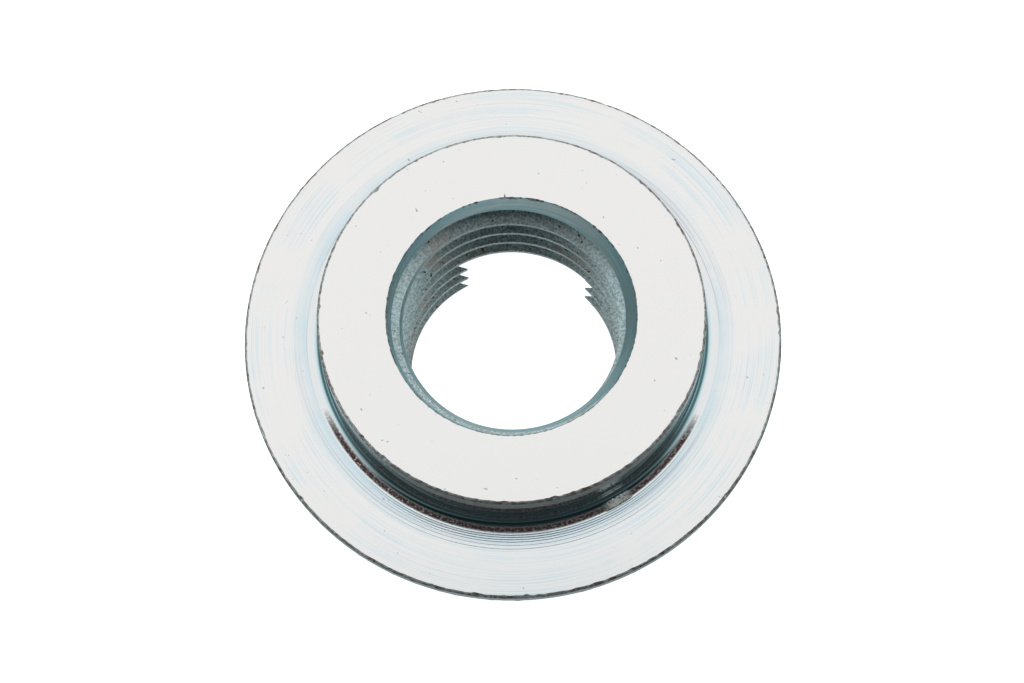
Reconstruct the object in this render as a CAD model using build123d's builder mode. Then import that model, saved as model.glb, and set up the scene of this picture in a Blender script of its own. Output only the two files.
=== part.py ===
from build123d import *
import os
from math import radians, tan

# Flanged hexagon weld nut for an M14 x 1.5 thread, one solid piece of steel.
# A short round boss, which pilots the nut in its plate, stands on a wide flange. The flange's back
# slopes up to a hexagon. A notch milled into one side of the hexagon, from its free end, has a flat
# floor so close to the axis that it opens a window into the bore, across the thread.
# Frame: origin at the centre of the hexagon's end face, +Z up the bore to the boss, and +Y out
# through the notch. Lengths are millimetres and angles are degrees.

# Driving dimensions
thread_major_dia = 14.0
thread_pitch = 1.5
thread_flank_angle = 30.0
thread_start = -1.25 * thread_pitch
thread_turns = 10
countersink_dia = 14.2
countersink_angle = 60.0
flange_dia = 31.0
rim_height = 0.8
flange_back_angle = 20.0
boss_dia = 22.0
boss_height = 3.5
boss_root_radius = 0.6
hex_across_flats = 22.0
hex_corner_radius = 0.3
hex_chamfer_angle = 30.0
hex_chamfer_dia = 20.9
hub_height = 8.0
notch_width = 10.0
notch_height = 4.95
notch_floor_from_axis = 5.0
notch_corner_radius = 0.8
edge_break = 0.2

# Worked out from them. A 60 degree thread's bore is its major diameter less 1.0825 pitches.
minor_dia = thread_major_dia - 1.0825 * thread_pitch
end_chamfer = (countersink_dia - minor_dia) / 2
total_height = hub_height + boss_height
rim_base = hub_height - rim_height
back_apex = rim_base - flange_dia / 2 * tan(radians(flange_back_angle))
hex_end_radius = hex_chamfer_dia / 2
clear_of_hex = hex_across_flats
clear_of_hex_rise = (clear_of_hex - hex_end_radius) * tan(radians(hex_chamfer_angle))

# The thread's groove has a flat root of an eighth of the pitch. It is drawn from a little inside
# the bore, so that it opens cleanly into it.
groove_inner_radius = minor_dia / 2 - thread_pitch / 16
groove_root_half = thread_pitch / 16
groove_reach = thread_major_dia / 2 - groove_inner_radius
groove_mouth_half = groove_root_half + groove_reach * tan(radians(thread_flank_angle))


def rings_at(part, z, dia):
    """The circular edges of one diameter at one height."""
    rings = part.edges().filter_by(GeomType.CIRCLE)
    rings = rings.filter_by_position(Axis.Z, z - 0.01, z + 0.01)
    return rings.filter_by(lambda ring: abs(2 * ring.radius - dia) < 0.01)


with BuildPart() as weld_nut:
    # Hexagon, with two flats square to Y, carried up to the flange's face to join it all over
    with BuildSketch(Plane.XY):
        RegularPolygon(hex_across_flats / 2, 6, major_radius=False, rotation=0)
    extrude(amount=hub_height)
    fillet(weld_nut.edges().filter_by(Axis.Z), radius=hex_corner_radius)

    # The hexagon's end is turned to a cone, which takes its six corners off
    with BuildSketch(Plane.XZ):
        with BuildLine():
            Polyline(
                (hex_end_radius, 0),
                (clear_of_hex, 0),
                (clear_of_hex, clear_of_hex_rise),
                close=True,
            )
        make_face()
    revolve(axis=Axis.Z, mode=Mode.SUBTRACT)

    # Flange with its sloping back, and the boss, turned as one section
    with BuildSketch(Plane.XZ):
        with BuildLine():
            Polyline(
                (0, back_apex),
                (flange_dia / 2, rim_base),
                (flange_dia / 2, hub_height),
                (boss_dia / 2, hub_height),
                (boss_dia / 2, total_height),
                (0, total_height),
                close=True,
            )
        make_face()
    revolve(axis=Axis.Z)
    fillet(rings_at(weld_nut, hub_height, boss_dia), radius=boss_root_radius)

    # The lathe's sharp edges are broken
    turned_edges = (
        rings_at(weld_nut, total_height, boss_dia)
        + rings_at(weld_nut, hub_height, flange_dia)
        + rings_at(weld_nut, rim_base, flange_dia)
    )
    chamfer(turned_edges, length=edge_break)

    # Bore at the thread's minor diameter, with a 45 degree chamfer at the hexagon's end
    Hole(radius=minor_dia / 2)
    chamfer(rings_at(weld_nut, 0, minor_dia), length=end_chamfer)

    # Thread, tapped right through as one groove along a right-hand helix. It starts and ends
    # clear of the nut.
    with BuildLine(mode=Mode.PRIVATE) as helix:
        Helix(
            pitch=thread_pitch,
            height=thread_turns * thread_pitch,
            radius=thread_major_dia / 2,
            center=(0, 0, thread_start),
        )
    with BuildSketch(Plane.XZ.move(Location((0, 0, thread_start)))):
        with BuildLine():
            Polyline(
                (groove_inner_radius, -groove_mouth_half),
                (thread_major_dia / 2, -groove_root_half),
                (thread_major_dia / 2, groove_root_half),
                (groove_inner_radius, groove_mouth_half),
                close=True,
            )
        make_face()
    sweep(path=helix.wire(), is_frenet=True, mode=Mode.SUBTRACT)

    # Steep countersink in the boss, which leads the screw in and runs out the thread's last turn
    with Locations((0, 0, total_height)):
        CounterSinkHole(
            radius=minor_dia / 2,
            counter_sink_radius=countersink_dia / 2,
            depth=total_height,
            counter_sink_angle=countersink_angle,
        )

    # Notch with a flat floor, square to Y, that cuts across the bore and leaves the window
    with BuildSketch(Plane.XZ.offset(-notch_floor_from_axis)) as notch:
        with Locations((0, notch_height / 2)):
            Rectangle(notch_width, notch_height)
        fillet(notch.vertices().group_by(Axis.Z)[-1], radius=notch_corner_radius)
    extrude(amount=-clear_of_hex, mode=Mode.SUBTRACT)

weld_nut.part.label = "weld_nut"

os.makedirs("parts", exist_ok=True)
export_step(weld_nut.part, "parts/weld_nut.step")
print("volume mm3", round(weld_nut.part.volume, 1), "box", weld_nut.part.bounding_box().size)
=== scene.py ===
from math import cos, pi, radians, sin, sqrt, tan

import bmesh
import bpy
from mathutils import Matrix, Vector, noise


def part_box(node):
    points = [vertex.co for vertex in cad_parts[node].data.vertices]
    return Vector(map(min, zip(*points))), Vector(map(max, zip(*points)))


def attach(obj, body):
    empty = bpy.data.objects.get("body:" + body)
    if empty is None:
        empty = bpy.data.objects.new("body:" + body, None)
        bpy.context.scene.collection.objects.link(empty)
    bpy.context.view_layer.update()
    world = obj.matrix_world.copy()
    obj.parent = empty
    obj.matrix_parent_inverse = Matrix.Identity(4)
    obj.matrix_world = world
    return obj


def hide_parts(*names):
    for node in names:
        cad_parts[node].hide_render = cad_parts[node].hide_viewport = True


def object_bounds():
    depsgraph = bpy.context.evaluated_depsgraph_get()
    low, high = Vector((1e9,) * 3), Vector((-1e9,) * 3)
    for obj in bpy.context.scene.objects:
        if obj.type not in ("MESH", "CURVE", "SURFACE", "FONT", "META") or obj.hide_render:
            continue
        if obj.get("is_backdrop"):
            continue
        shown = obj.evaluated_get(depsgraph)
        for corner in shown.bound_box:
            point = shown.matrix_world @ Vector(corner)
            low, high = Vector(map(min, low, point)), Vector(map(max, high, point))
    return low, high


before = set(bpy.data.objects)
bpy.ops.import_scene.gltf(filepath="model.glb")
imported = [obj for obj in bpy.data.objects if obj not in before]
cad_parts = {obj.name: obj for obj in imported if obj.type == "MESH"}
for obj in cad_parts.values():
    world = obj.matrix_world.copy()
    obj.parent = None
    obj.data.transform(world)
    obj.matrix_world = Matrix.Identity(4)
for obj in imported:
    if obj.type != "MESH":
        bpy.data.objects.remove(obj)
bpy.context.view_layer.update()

# ---------------------------------------------------------------------------------------------
# The blank. A length of steel bar is turned in a lathe: the wide flange, its sloping back and the
# short round boss that pilots the nut in its plate are cut at one setting. The tool leaves fine
# rings on each face that it passes over, and ragged edges that are only roughly broken.
mm = 0.001
nut_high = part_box("weld_nut")[1]
flange_radius = nut_high.x
boss_top = nut_high.z
boss_height = 3.5 * mm
boss_radius = 11.0 * mm
boss_root_radius = 0.6 * mm
flange_face = boss_top - boss_height
rim_height = 0.8 * mm
rim_base = flange_face - rim_height
back_slope = tan(radians(20))
back_apex = rim_base - flange_radius * back_slope
edge_break = 0.15 * mm
sides = 480
ragged_sides = 3 * sides

# The finishes of the nut's faces, in the order of its materials
TURNED, EDGE, ROOT, HEXAGON, SUNK, TAPPED, MILLED = range(7)


def ragged(angle, seed, radius):
    """How far an unfinished edge strays at one angle: fine teeth, slow waves and a few deep nicks."""
    around = Vector((cos(angle), sin(angle), 0)) * radius / mm

    def noise_at(waves_per_mm, layer):
        return noise.noise(around * waves_per_mm + Vector((0, 0, seed + layer)))

    teeth = noise_at(4.1, 0)
    waves = noise_at(1.3, 7.3)
    nicks = max(0.0, noise_at(2.3, 15.1) - 0.3)
    return 0.9 * teeth + 0.5 * waves - 6.0 * nicks


def solid_from(name, shape):
    """A new object in the scene, from a finished shape."""
    mesh = bpy.data.meshes.new(name)
    shape.to_mesh(mesh)
    shape.free()
    solid = bpy.data.objects.new(name, mesh)
    bpy.context.scene.collection.objects.link(solid)
    return solid


def turned_solid(name, rings, finishes):
    """A closed solid of revolution from rings of (radius, height, stray outward, stray upward)."""
    shape = bmesh.new()
    loops = []
    for number, (radius, height, stray_out, stray_up) in enumerate(rings):
        if radius == 0:
            loops.append([shape.verts.new((0, 0, height))])
            continue
        strays = stray_out != 0 or stray_up != 0
        count = ragged_sides if strays else sides
        seed = 3.1 * (number // 2)
        loop = []
        for side in range(count):
            angle = 2 * pi * side / count
            stray = ragged(angle, seed, radius) if strays else 0
            out = radius + stray_out * stray
            loop.append(shape.verts.new((out * cos(angle), out * sin(angle), height + stray_up * stray)))
        loops.append(loop)
    # A ragged ring has more vertices than a plain one, so a face may meet several of its sides.
    for lower, upper, finish in zip(loops, loops[1:], finishes):
        spans = min(len(loop) for loop in (lower, upper) if len(loop) > 1)
        for span in range(spans):
            corners = []
            for loop, way in ((lower, 1), (upper, -1)):
                step = len(loop) // spans
                stretch = [loop[(span * step + place) % len(loop)] for place in range(step + 1)]
                corners += stretch[::way]
            face = shape.faces.new(corners)
            face.material_index = finish
            face.smooth = True
    bmesh.ops.recalc_face_normals(shape, faces=shape.faces)
    return solid_from(name, shape)


def arc(centre_radius, centre_height, radius, start, end, steps, stray=0.0):
    """Rings along an arc of the turned outline, in degrees. They stray only along its surfaces."""
    turns = [radians(start + (end - start) * step / steps) for step in range(steps + 1)]
    return [
        (
            centre_radius + radius * cos(turn),
            centre_height + radius * sin(turn),
            stray * sin(turn),
            stray * cos(turn),
        )
        for turn in turns
    ]


# The flange's back, out to the lower edge of its rim
back_radii = [8 * mm, 10.6 * mm, 12 * mm, 13.5 * mm, 15 * mm]
outline = [(0, back_apex, 0, 0)]
outline += [(radius, back_apex + radius * back_slope, 0, 0) for radius in back_radii]
outline += arc(flange_radius - edge_break, rim_base + edge_break, edge_break, -70, 0, 3, 0.015 * mm)
bands = [TURNED] * 7 + [EDGE] * 2

# The rim and its upper edge, in to the first plain ring of the flange's face
outline += arc(flange_radius - edge_break, flange_face - edge_break, edge_break, 0, 90, 3, 0.024 * mm)
outline.append((15 * mm, flange_face, 0, 0))
bands += [TURNED] + [EDGE] * 3 + [TURNED]

# The last passes of the tool beside the boss are deeper than the rest, so they are cut as grooves.
groove_depth = 0.0017 * mm
groove_half_width = 0.024 * mm
groove_radii = [12.72 * mm, 12.5 * mm, 12.3 * mm, 12.16 * mm, 12.03 * mm, 11.9 * mm]
for radius in groove_radii:
    outline.append((radius + groove_half_width, flange_face, 0, 0))
    outline.append((radius, flange_face - groove_depth, 0, 0))
    outline.append((radius - groove_half_width, flange_face, 0, 0))
bands += [TURNED] * 3 * len(groove_radii)

# The boss's rounded root, its wall, its edge and its face
root_steps = 36
root_centre_height = flange_face + boss_root_radius
outline += arc(boss_radius + boss_root_radius, root_centre_height, boss_root_radius, 270, 180, root_steps)
bands += [ROOT] * (root_steps + 1)
outline += arc(boss_radius - edge_break, boss_top - edge_break, edge_break, 0, 90, 3, 0.03 * mm)
outline += [(radius, boss_top, 0, 0) for radius in (10.3 * mm, 8.5 * mm, 0)]
bands += [ROOT] + [EDGE] * 3 + [TURNED] * 3
nut = turned_solid("plated_nut", outline, bands)


def new_finish(name, polish):
    """The nut's next metal finish: its node tree, its shader and the place on the piece."""
    material = bpy.data.materials.new(name)
    material.use_nodes = True
    nut.data.materials.append(material)
    tree = material.node_tree
    metal = tree.nodes["Principled BSDF"]
    metal.inputs["Metallic"].default_value = 1.0
    metal.inputs["Roughness"].default_value = polish
    place = tree.nodes.new("ShaderNodeTexCoord").outputs["Object"]
    return tree, metal, place


def feed(tree, socket, value):
    """Gives a socket another node's result, a colour or a plain value."""
    if isinstance(value, bpy.types.NodeSocket):
        tree.links.new(value, socket)
    elif socket.type == "RGBA":
        socket.default_value = (*value, 1)
    else:
        socket.default_value = value


def number_from(tree, operation, *values):
    """A number that a maths node works out."""
    node = tree.nodes.new("ShaderNodeMath")
    node.operation = operation
    for socket, value in zip(node.inputs, values):
        feed(tree, socket, value)
    return node.outputs["Value"]


def vector_from(tree, operation, *values):
    """A vector that a maths node works out, or the number where the operation gives one."""
    node = tree.nodes.new("ShaderNodeVectorMath")
    node.operation = operation
    for socket, value in zip(node.inputs, values):
        feed(tree, socket, value)
    gives_number = operation in ("DISTANCE", "DOT_PRODUCT", "LENGTH")
    return node.outputs["Value" if gives_number else "Vector"]


def height_of(tree, place):
    """How high each point is."""
    split = tree.nodes.new("ShaderNodeSeparateXYZ")
    feed(tree, split.inputs["Vector"], place)
    return split.outputs["Z"]


def from_axis(tree, place):
    """The way out from the nut's axis to each point, and the distance."""
    out = vector_from(tree, "MULTIPLY", place, (1, 1, 0))
    return out, vector_from(tree, "LENGTH", out)


def clouds(tree, place, scale, detail, roughness=0.55):
    """Plain noise over the piece, with this many patches to the metre."""
    cloud = tree.nodes.new("ShaderNodeTexNoise")
    cloud.inputs["Scale"].default_value = scale
    cloud.inputs["Detail"].default_value = detail
    cloud.inputs["Roughness"].default_value = roughness
    feed(tree, cloud.inputs["Vector"], place)
    return cloud.outputs["Fac"]


def turning_marks(tree, place, across, around, detail):
    """Noise that a lathe would leave: quick from ring to ring, and slow around each ring."""
    out, distance = from_axis(tree, place)
    ring = number_from(tree, "SUBTRACT", distance, height_of(tree, place))
    slow = vector_from(tree, "MULTIPLY", vector_from(tree, "NORMALIZE", out), (around, around, around))
    quick = tree.nodes.new("ShaderNodeCombineXYZ")
    feed(tree, quick.inputs["Z"], number_from(tree, "MULTIPLY", ring, across))
    where = vector_from(tree, "ADD", slow, quick.outputs["Vector"])
    return clouds(tree, where, 1.0, detail, 0.5)


def between(tree, value, low, high, at_low=0.0, at_high=1.0):
    """Stretches a value's range from low to high out to a new range, and clips it there."""
    spread = tree.nodes.new("ShaderNodeMapRange")
    spread.inputs["From Min"].default_value = low
    spread.inputs["From Max"].default_value = high
    spread.inputs["To Min"].default_value = at_low
    spread.inputs["To Max"].default_value = at_high
    feed(tree, spread.inputs["Value"], value)
    return spread.outputs["Result"]


def times(tree, product, *others):
    """The product of two or more values."""
    for other in others:
        product = number_from(tree, "MULTIPLY", product, other)
    return product


def tinted(tree, base, colour, amount, blend="MIX"):
    """Lays a colour over the base by an amount. Each of them may be another node's result."""
    mix = tree.nodes.new("ShaderNodeMix")
    mix.data_type = "RGBA"
    mix.blend_type = blend
    feed(tree, mix.inputs["A"], base)
    feed(tree, mix.inputs["B"], colour)
    feed(tree, mix.inputs["Factor"], amount)
    return mix.outputs["Result"]


def bumped(tree, height, depth, below=None):
    """Raises a surface by a height pattern, on top of another bump where one is given."""
    bump = tree.nodes.new("ShaderNodeBump")
    bump.inputs["Distance"].default_value = depth
    feed(tree, bump.inputs["Height"], height)
    if below is not None:
        feed(tree, bump.inputs["Normal"], below)
    return bump.outputs["Normal"]


# Bright zinc on the turned faces: silver, with pale blue streaks over the rings painted in as a
# reflection of the bluer tent low down. Beside the boss this painted reflection is bluer, and each
# ring shows as a thin dull line of painted shade.
silver = (0.83, 0.832, 0.83)
painted_sky_blue = (0.60, 0.76, 0.84)
painted_boss_side_blue = (0.57, 0.73, 0.80)
painted_shade_violet = (0.50, 0.48, 0.55)
speck_grey = (0.45, 0.46, 0.47)

tree, metal, place = new_finish("turned_zinc", 0.12)
rings = turning_marks(tree, place, 9000, 1.1, 3)
fine_rings = turning_marks(tree, place, 26000, 2.5, 2)
line_marks = turning_marks(tree, place, 14000, 0.9, 1)
patches = clouds(tree, place, 210, 3)
specks = between(tree, clouds(tree, place, 2900, 1), 0.76, 0.80)
distance = from_axis(tree, place)[1]
on_flange = between(tree, distance, 11.0 * mm, 11.1 * mm)
beside_boss = times(tree, between(tree, distance, 12.95 * mm, 11.7 * mm), on_flange)
# Painted reflection: pale blue streaks along the rings of the flange.
painted_blue_streaks = times(tree, between(tree, rings, 0.46, 0.72), between(tree, patches, 0.38, 0.58), on_flange)
# Painted shade: thin dull lines along the rings beside the boss.
painted_shade_lines = times(tree, between(tree, line_marks, 0.54, 0.66), beside_boss)

# The painted blue reflection and the painted shade lines are laid into the zinc's colour.
colour = tinted(tree, silver, painted_sky_blue, painted_blue_streaks)
colour = tinted(tree, colour, painted_boss_side_blue, times(tree, beside_boss, between(tree, patches, 0.2, 0.5)))
colour = tinted(tree, colour, painted_shade_violet, painted_shade_lines)
colour = tinted(tree, colour, speck_grey, specks)
feed(tree, metal.inputs["Base Color"], colour)
ridges = bumped(tree, rings, 0.0012 * mm)
feed(tree, metal.inputs["Normal"], bumped(tree, fine_rings, 0.0004 * mm, ridges))

# Torn edges: dull and brown, with grey patches, and paler flecks where the plating took.
edge_brown = (0.30, 0.20, 0.17)
edge_grey = (0.45, 0.44, 0.42)
plated_fleck = (0.64, 0.63, 0.60)

tree, metal, place = new_finish("torn_edge_zinc", 0.42)
metal.inputs["Metallic"].default_value = 0.8
flecks = between(tree, clouds(tree, place, 5200, 3), 0.44, 0.62)
grey_patches = between(tree, clouds(tree, place, 1100, 3), 0.42, 0.58)
colour = tinted(tree, edge_brown, edge_grey, grey_patches)
colour = tinted(tree, colour, plated_fleck, flecks)
feed(tree, metal.inputs["Base Color"], colour)
feed(tree, metal.inputs["Normal"], bumped(tree, flecks, 0.006 * mm))

# The boss's wall and root: smooth from the tool's nose, and scuffed along the top. On the side that
# faces the onlooker the foot of the root is painted near-black, blotched with brown, as painted
# shade, and a bumped smear in it carries pale dull flecks that are painted glints.
clean_wall = (0.76, 0.79, 0.80)
painted_shade_black = (0.03, 0.026, 0.028)
painted_shade_brown = (0.13, 0.055, 0.048)
painted_glint_white = (1.0, 0.94, 0.86)
painted_shade_heading = (0.14, -0.99, 0)
smear_middle = (7.42 * mm, -8.85 * mm, flange_face + 0.1 * mm)

tree, metal, place = new_finish("boss_root_zinc", 0.10)
grit = clouds(tree, place, 6500, 2)
blotches = between(tree, clouds(tree, place, 230, 3), 0.3, 0.45)
scuffs = turning_marks(tree, place, 6000, 14, 2)
distance = from_axis(tree, place)[1]
toward_painted_shade = vector_from(tree, "DOT_PRODUCT", place, painted_shade_heading)
# Painted shade: the near side of the root's foot, made dark and dull.
painted_shade = times(
    tree,
    between(tree, distance, 11.38 * mm, 11.52 * mm),
    between(tree, toward_painted_shade, 4.6 * mm, 6.2 * mm),
    between(tree, distance, 11.80 * mm, 11.70 * mm),
    between(tree, grit, 0.22, 0.5),
)
smear = times(
    tree,
    between(tree, vector_from(tree, "DISTANCE", place, smear_middle), 0.95 * mm, 0.45 * mm),
    between(tree, distance, 11.3 * mm, 11.42 * mm),
    between(tree, distance, 11.84 * mm, 11.74 * mm),
)
# Painted highlights: pale, dull flecks in the smear stand in for glints.
painted_glints = times(tree, smear, between(tree, grit, 0.42, 0.47))
scuffed_top = between(tree, height_of(tree, place), flange_face + 2.3 * mm, flange_face + 2.6 * mm)

# The painted shade's colour: near-black, blotched with brown.
painted_shade_colour = tinted(tree, painted_shade_black, painted_shade_brown, blotches)
colour = tinted(tree, clean_wall, painted_shade_colour, painted_shade)
feed(tree, metal.inputs["Base Color"], tinted(tree, colour, painted_glint_white, painted_glints))
shine = times(
    tree,
    between(tree, painted_shade, 0, 1, 1.0, 0.1),
    between(tree, painted_glints, 0, 1, 1.0, 0.0),
    between(tree, scuffed_top, 0, 1, 1.0, 0.8),
)
feed(tree, metal.inputs["Metallic"], shine)
painted_shade_roughness = between(tree, painted_shade, 0, 1, 0.10, 0.6)
top_roughness = between(tree, scuffed_top, 0, 1, 0.10, 0.4)
feed(tree, metal.inputs["Roughness"], number_from(tree, "MAXIMUM", painted_shade_roughness, top_roughness))
scuffed = bumped(tree, scuffs, 0.0006 * mm)
feed(tree, metal.inputs["Normal"], bumped(tree, times(tree, smear, grit), 0.08 * mm, scuffed))

# ---------------------------------------------------------------------------------------------
# The hexagon. It is the bar's own drawn hexagon, left on below the flange for the wrench. Its end
# is turned to a shallow cone, which takes the six corners off in curves.
across_flats = 22 * mm
corner_radius = 0.3 * mm
corner_distance = (across_flats - 2 * corner_radius) / sqrt(3)
end_cone_radius = 20.9 / 2 * mm
end_cone_slope = tan(radians(30))
hexagon_top = rim_base - 0.2 * mm
clear_radius = 14 * mm
clear_height = hexagon_top + 1 * mm


def prism(name, outline, low, high, finish):
    """A closed solid from a flat outline of (x, y), drawn up from one height to another."""
    shape = bmesh.new()
    floor_ring = [shape.verts.new((x, y, low)) for x, y in outline]
    top_ring = [shape.verts.new((x, y, high)) for x, y in outline]
    shape.faces.new(floor_ring[::-1])
    shape.faces.new(top_ring)
    for corner in range(len(outline)):
        after = (corner + 1) % len(outline)
        shape.faces.new([floor_ring[corner], floor_ring[after], top_ring[after], top_ring[corner]])
    for face in shape.faces:
        face.material_index = finish
        face.smooth = True
    return solid_from(name, shape)


def combine(body, tool, operation, turn=0.0):
    """Joins, cuts or trims the body with a tool, turned so that their edges don't coincide."""
    tool.data.transform(Matrix.Rotation(radians(turn), 4, "Z"))
    cut = body.modifiers.new(operation.lower(), "BOOLEAN")
    cut.operation = operation
    cut.solver = "EXACT"
    cut.material_mode = "INDEX"
    cut.object = tool
    bpy.context.view_layer.objects.active = body
    bpy.ops.object.modifier_apply(modifier=cut.name)
    bpy.data.objects.remove(tool)


hexagon_outline = []
for corner in range(6):
    middle = radians(60 * corner)
    for step in range(-12, 13):
        turn = middle + radians(2.5 * step)
        hexagon_outline.append((
            corner_distance * cos(middle) + corner_radius * cos(turn),
            corner_distance * sin(middle) + corner_radius * sin(turn),
        ))
hexagon = prism("hexagon", hexagon_outline, 0, hexagon_top, HEXAGON)
end_cone = turned_solid(
    "end_cone",
    [
        (0, 0, 0, 0),
        (end_cone_radius, 0, 0, 0),
        (clear_radius, (clear_radius - end_cone_radius) * end_cone_slope, 0, 0),
        (clear_radius, clear_height, 0, 0),
        (0, clear_height, 0, 0),
    ],
    [TURNED] * 4,
)
combine(hexagon, end_cone, "INTERSECT", 0.13)
combine(nut, hexagon, "UNION")

# Drawn zinc: duller than the turned faces, with faint lines along the bar.
drawn_bright = (0.76, 0.80, 0.82)
drawn_dull = (0.62, 0.69, 0.72)

tree, metal, place = new_finish("drawn_zinc", 0.26)
dull = clouds(tree, place, 320, 4)
colour = tinted(tree, drawn_bright, drawn_dull, between(tree, dull, 0.4, 0.65))
feed(tree, metal.inputs["Base Color"], colour)
feed(tree, metal.inputs["Roughness"], between(tree, dull, 0.3, 0.7, 0.2, 0.36))
along_bar = vector_from(tree, "MULTIPLY", place, (9000, 9000, 250))
draw_lines = clouds(tree, along_bar, 1.0, 2)
feed(tree, metal.inputs["Normal"], bumped(tree, draw_lines, 0.002 * mm))

# ---------------------------------------------------------------------------------------------
# The bore. It is drilled to the thread's minor diameter and tapped M14 x 1.5 right through. A steep
# countersink in the boss and a chamfer at the hexagon's end run the thread out at its two mouths.
pitch = 1.5 * mm
major_radius = 7.0 * mm
minor_radius = major_radius - 1.0825 / 2 * pitch
mouth_radius = 7.1 * mm
turn_sides = 360
crest_at_plus_y = 8.12 * mm
crest_half = 0.14 * mm
turns_below, turns_above = 7, 3
tap_off_axis = (-0.038 * mm, -0.059 * mm, 0)

# The tap: its section is carried up a right-hand helix, and each turn is joined to the next.
tap_section = [
    (-crest_half, minor_radius),
    (crest_half, minor_radius),
    (pitch * 7 / 16, major_radius),
    (pitch * 9 / 16, major_radius),
]
steps = turn_sides * (turns_below + turns_above)
shape = bmesh.new()
columns = []
for step in range(steps + 1):
    angle = 2 * pi * step / turn_sides
    rise = pitch * step / turn_sides - turns_below * pitch
    height = crest_at_plus_y - pitch / 4 + rise
    columns.append([
        shape.verts.new((radius * cos(angle), radius * sin(angle), height + along))
        for along, radius in tap_section
    ])
for step in range(steps):
    here, there = columns[step], columns[step + 1]
    for low in range(3):
        shape.faces.new([here[low], there[low], there[low + 1], here[low + 1]])
    if step + 1 + turn_sides <= steps:
        here_up, there_up = columns[step + turn_sides], columns[step + 1 + turn_sides]
        shape.faces.new([here[3], there[3], there_up[0], here_up[0]])

# Each end of the tap is closed with a cone, clear of the nut.
end_lift = 2 * mm
first_rim = [columns[step][0] for step in range(turn_sides + 1)]
first_rim += [columns[0][low] for low in (3, 2, 1)]
last_rim = [columns[step][3] for step in range(steps - turn_sides, steps + 1)]
last_rim += [columns[steps][low] for low in (2, 1)]
for rim, lift in ((first_rim, -end_lift), (last_rim, end_lift)):
    hub = shape.verts.new((0, 0, sum(vert.co.z for vert in rim) / len(rim) + lift))
    for vert, after in zip(rim, rim[1:] + rim[:1]):
        shape.faces.new([vert, after, hub])
bmesh.ops.recalc_face_normals(shape, faces=shape.faces)
for face in shape.faces:
    face.material_index = TAPPED
    face.smooth = True
tap = solid_from("tap", shape)
tap.data.transform(Matrix.Translation(tap_off_axis))
combine(nut, tap, "DIFFERENCE")

# Each mouth's cutter stands a little proud of its face: which way is out, how many degrees it
# leans from the axis, and how deep it goes.
proud = 0.3 * mm
for face_height, way, lean, depth in ((boss_top, 1, 30, 2.2 * mm), (0, -1, 45, 1.3 * mm)):
    spread = tan(radians(lean))
    sink = turned_solid(
        "countersink",
        [
            (0, face_height - way * depth, 0, 0),
            (mouth_radius - depth * spread, face_height - way * depth, 0, 0),
            (mouth_radius + proud * spread, face_height + way * proud, 0, 0),
            (0, face_height + way * proud, 0, 0),
        ],
        [SUNK] * 3,
    )
    combine(nut, sink, "DIFFERENCE", 0.21)

# The countersink's edge is torn all round, with one deeper nick at the back.
lip_depth = 0.14 * mm
lip_proud = 0.1 * mm
lip_foot_radius = mouth_radius - 0.09 * mm
lip_radius = mouth_radius + 0.01 * mm
lip = turned_solid(
    "torn_lip",
    [
        (0, boss_top - lip_depth, 0, 0),
        (lip_foot_radius, boss_top - lip_depth, 0.03 * mm, 0),
        (lip_radius, boss_top, 0.05 * mm, 0),
        (lip_radius, boss_top + lip_proud, 0.05 * mm, 0),
        (0, boss_top + lip_proud, 0, 0),
    ],
    [EDGE] * 4,
)
combine(nut, lip, "DIFFERENCE", 0.17)
nick_outline = [(-0.1 * mm, 6.9 * mm), (0.1 * mm, 6.9 * mm), (0.03 * mm, 7.34 * mm)]
nick = prism("nick", nick_outline, boss_top - 0.12 * mm, boss_top + lip_proud, EDGE)
combine(nut, nick, "DIFFERENCE", 12.4)

# Countersunk zinc: blue-green, with a paler ring for each turn of the cutter.
sunk_blue = (0.66, 0.92, 0.98)
sunk_pale = (0.96, 1.0, 1.0)

tree, metal, place = new_finish("countersunk_zinc", 0.30)
feed_rings = turning_marks(tree, place, 11000, 0.8, 1)
colour = tinted(tree, sunk_blue, sunk_pale, between(tree, feed_rings, 0.5, 0.62))
feed(tree, metal.inputs["Base Color"], colour)
feed(tree, metal.inputs["Normal"], bumped(tree, feed_rings, 0.014 * mm))

# Tapped zinc: dull and grainy, torn along the cut, with small pits, and warm specks along the tears
# that are a painted warm reflection.
tapped_pale = (0.84, 0.92, 0.93)
tapped_grey = (0.47, 0.48, 0.47)
painted_warm_glint = (0.72, 0.58, 0.50)
pit_black = (0.04, 0.04, 0.04)

tree, metal, place = new_finish("tapped_zinc", 0.36)
metal.inputs["Metallic"].default_value = 0.66
tears = turning_marks(tree, place, 6500, 90, 3)
grain = clouds(tree, place, 6800, 2, 0.6)
pits = between(tree, clouds(tree, place, 4600, 1), 0.70, 0.75)
worn = clouds(tree, place, 420, 3)
# Painted reflection: warm specks where the tears cross the worn patches.
painted_warm_glints = times(tree, between(tree, worn, 0.52, 0.62), between(tree, tears, 0.45, 0.60))
colour = tinted(tree, tapped_pale, tapped_grey, between(tree, grain, 0.38, 0.64))
colour = tinted(tree, colour, painted_warm_glint, painted_warm_glints)
feed(tree, metal.inputs["Base Color"], tinted(tree, colour, pit_black, pits))
torn = bumped(tree, tears, 0.018 * mm)
feed(tree, metal.inputs["Normal"], bumped(tree, grain, 0.006 * mm, torn))

# ---------------------------------------------------------------------------------------------
# The notch. An end mill cuts it into one flat of the hexagon from the free end. Its floor is so
# near the axis that it opens a window into the bore, and leaves the thread's turns cut off there.
notch_half_width = 5.0 * mm
notch_ceiling = 4.95 * mm
notch_floor = 5.0 * mm
notch_corner = 0.8 * mm
corner_height = notch_ceiling - notch_corner

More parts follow.
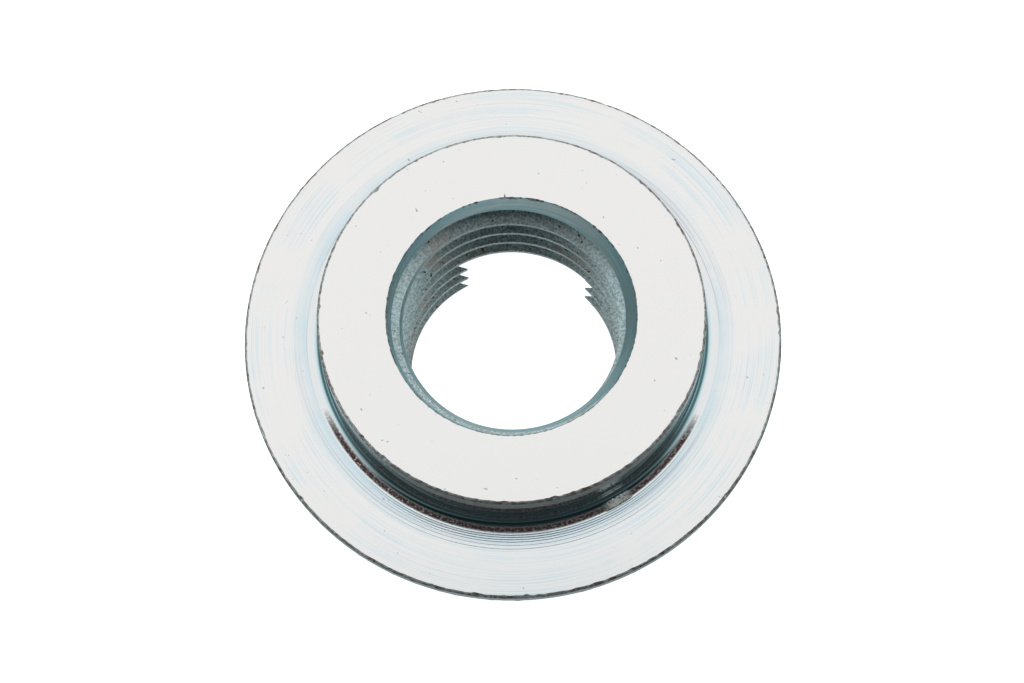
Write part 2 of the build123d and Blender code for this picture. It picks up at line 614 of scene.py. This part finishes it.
notch_outline = [(-notch_half_width, -1 * mm), (notch_half_width, -1 * mm)]
for centre, start in ((notch_half_width - notch_corner, 0), (notch_corner - notch_half_width, 90)):
    for step in range(37):
        turn = radians(start + 2.5 * step)
        notch_outline.append((centre + notch_corner * cos(turn), corner_height + notch_corner * sin(turn)))
end_mill = prism("end_mill", notch_outline, -14 * mm, -notch_floor, MILLED)
end_mill.data.transform(Matrix.Rotation(radians(90), 4, "X"))
combine(nut, end_mill, "DIFFERENCE")

# Milled zinc: a little dull, with fine lines along the cutter's way.
milled_bright = (0.74, 0.79, 0.81)
milled_dull = (0.60, 0.68, 0.71)

tree, metal, place = new_finish("milled_zinc", 0.24)
dull = clouds(tree, place, 380, 4)
colour = tinted(tree, milled_bright, milled_dull, between(tree, dull, 0.4, 0.65))
feed(tree, metal.inputs["Base Color"], colour)
along_cut = vector_from(tree, "MULTIPLY", place, (600, 7000, 7000))
mill_lines = clouds(tree, along_cut, 1.0, 2)
feed(tree, metal.inputs["Normal"], bumped(tree, mill_lines, 0.003 * mm))

# The whole nut is one piece. Its grooves are shallow, so only faces that nearly line up blend.
nut.data.shade_smooth()
nut.data.set_sharp_from_angle(angle=radians(3.2))
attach(nut, "root")
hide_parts("weld_nut")

# ---------------------------------------------------------------------------------------------
# The floor. A plain white light table, a sheet of opal plastic lit from below. The nut stands on
# it, so that no shadow darkens the bore.
shape = bmesh.new()
bmesh.ops.create_circle(shape, cap_ends=True, segments=96, radius=4.0)
table = solid_from("light_table", shape)
opal = bpy.data.materials.new("table_white")
opal.use_nodes = True
surface = opal.node_tree.nodes["Principled BSDF"]
surface.inputs["Base Color"].default_value = (0.85, 0.85, 0.85, 1)
surface.inputs["Roughness"].default_value = 0.8
surface.inputs["Emission Color"].default_value = (1, 1, 1, 1)
surface.inputs["Emission Strength"].default_value = 1.0
table.data.materials.append(opal)
table.visible_glossy = False
table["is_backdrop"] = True

# ---------------------------------------------------------------------------------------------
# The studio. A pale tent of light stands round the nut: brightest overhead and behind, dim at the
# level of the table, and dark on the side that it is looked at from.
viewing_turn = radians(12.11)
viewing_height = radians(71.74)


def direction(turn, height):
    """The direction out to a place in the tent: turned from the front, and raised."""
    return Vector((sin(turn) * cos(height), -cos(turn) * cos(height), sin(height)))


def graded(tree, value, stops):
    """A colour that changes with a value, through stops of (value, colour)."""
    ramp = tree.nodes.new("ShaderNodeValToRGB")
    feed(tree, ramp.inputs["Fac"], value)
    while len(ramp.color_ramp.elements) < len(stops):
        ramp.color_ramp.elements.new(0.5)
    for element, (position, colour) in zip(ramp.color_ramp.elements, stops):
        element.position = position
        element.color = (*colour, 1)
    return ramp.outputs["Color"]


# The tent's cloth, by the height above the table in degrees
tent_colours = [
    (-90, (0.26, 0.31, 0.32)),
    (-45, (0.28, 0.37, 0.38)),
    (-15, (0.10, 0.18, 0.19)),
    (0, (0.08, 0.165, 0.173)),
    (13, (0.10, 0.19, 0.205)),
    (21, (0.28, 0.45, 0.48)),
    (29, (0.62, 0.81, 0.84)),
    (45, (0.80, 0.95, 0.99)),
    (60, (1.01, 1.0, 0.99)),
    (90, (1.01, 1.0, 0.99)),
]
# The round dark opening in it, by the degrees out from the opening's middle
opening_colours = [
    (42.5, (1.0, 1.0, 1.0)),
    (40.5, (0.74, 0.85, 0.90)),
    (39, (0.34, 0.52, 0.58)),
    (37, (0.10, 0.15, 0.16)),
    (28, (0.04, 0.065, 0.07)),
    (17, (0.05, 0.07, 0.075)),
    (12, (0.10, 0.12, 0.125)),
]
opening_middle = direction(viewing_turn + radians(4), radians(60))
front_middle = direction(viewing_turn, radians(18))
rear_middle = direction(viewing_turn + pi, radians(10))
rear_glow = (0.62, 0.70, 0.71)

world = bpy.data.worlds.new("studio")
bpy.context.scene.world = world
world.use_nodes = True
tree = world.node_tree
toward = tree.nodes.new("ShaderNodeTexCoord").outputs["Generated"]
tent_height = between(tree, height_of(tree, toward), -1, 1)
tent_stops = [((sin(radians(height)) + 1) / 2, colour) for height, colour in tent_colours]
tent = graded(tree, tent_height, tent_stops)
near_opening = vector_from(tree, "DOT_PRODUCT", toward, opening_middle)
opening_stops = [(cos(radians(spread)), colour) for spread, colour in opening_colours]
tent = tinted(tree, tent, graded(tree, near_opening, opening_stops), 1.0, "MULTIPLY")

# The cloth is dim low down in front, where the onlooker stands, and lit low down at the rear.
near_front = vector_from(tree, "DOT_PRODUCT", toward, front_middle)
front_shade = between(tree, near_front, cos(radians(78)), cos(radians(56)), 1.0, 0.2)
tent = tinted(tree, tent, front_shade, 1.0, "MULTIPLY")
near_rear = vector_from(tree, "DOT_PRODUCT", toward, rear_middle)
rear_lit = between(tree, near_rear, cos(radians(52)), cos(radians(30)))
tent = tinted(tree, tent, rear_glow, rear_lit)

# Seen directly, the tent is plain white.
backdrop = tree.nodes["Background"]
feed(tree, backdrop.inputs["Color"], tent)
page = tree.nodes.new("ShaderNodeBackground")
page.inputs["Color"].default_value = (1, 1, 1, 1)
choose = tree.nodes.new("ShaderNodeMixShader")
feed(tree, choose.inputs["Fac"], tree.nodes.new("ShaderNodeLightPath").outputs["Is Camera Ray"])
feed(tree, choose.inputs[1], backdrop.outputs["Background"])
feed(tree, choose.inputs[2], page.outputs["Background"])
feed(tree, tree.nodes["World Output"].inputs["Surface"], choose.outputs["Shader"])
bpy.context.scene.view_settings.view_transform = "Standard"

# A round softbox overhead, a little to the rear
softbox_distance = 0.6
lamp = bpy.data.lights.new("overhead_softbox", "AREA")
lamp.shape = "DISK"
lamp.size = 0.5
lamp.energy = 1.2
softbox = bpy.data.objects.new("overhead_softbox", lamp)
softbox.location = direction(viewing_turn + pi, radians(70)) * softbox_distance
softbox.rotation_euler = softbox.location.to_track_quat("Z", "Y").to_euler()
softbox.visible_glossy = False
bpy.context.scene.collection.objects.link(softbox)

# ---------------------------------------------------------------------------------------------
# The camera. It looks down into the bore from in front, with a long lens, held a little off level.
# Its place is given from the middle of the flange's face: back along the view, then aside.
camera_distance = 137.97 * mm
camera_left = 0.052 * mm
camera_down = 0.422 * mm
camera_roll = radians(-3.088)

lens = bpy.data.cameras.new("camera")
lens.lens = 84.05
lens.sensor_width = 36
lens.clip_start = 0.001
camera = bpy.data.objects.new("camera", lens)
back = direction(viewing_turn, viewing_height)
right = Vector((cos(viewing_turn), sin(viewing_turn), 0))
up = back.cross(right)
axes = Matrix((right, up, back)).transposed() @ Matrix.Rotation(camera_roll, 3, "Z")
camera.matrix_world = axes.to_4x4()
flange_middle = Vector((0, 0, flange_face))
camera.location = flange_middle + camera_distance * back - camera_left * right - camera_down * up
bpy.context.scene.collection.objects.link(camera)
bpy.context.scene.camera = camera

bpy.context.view_layer.update()
low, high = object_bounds()
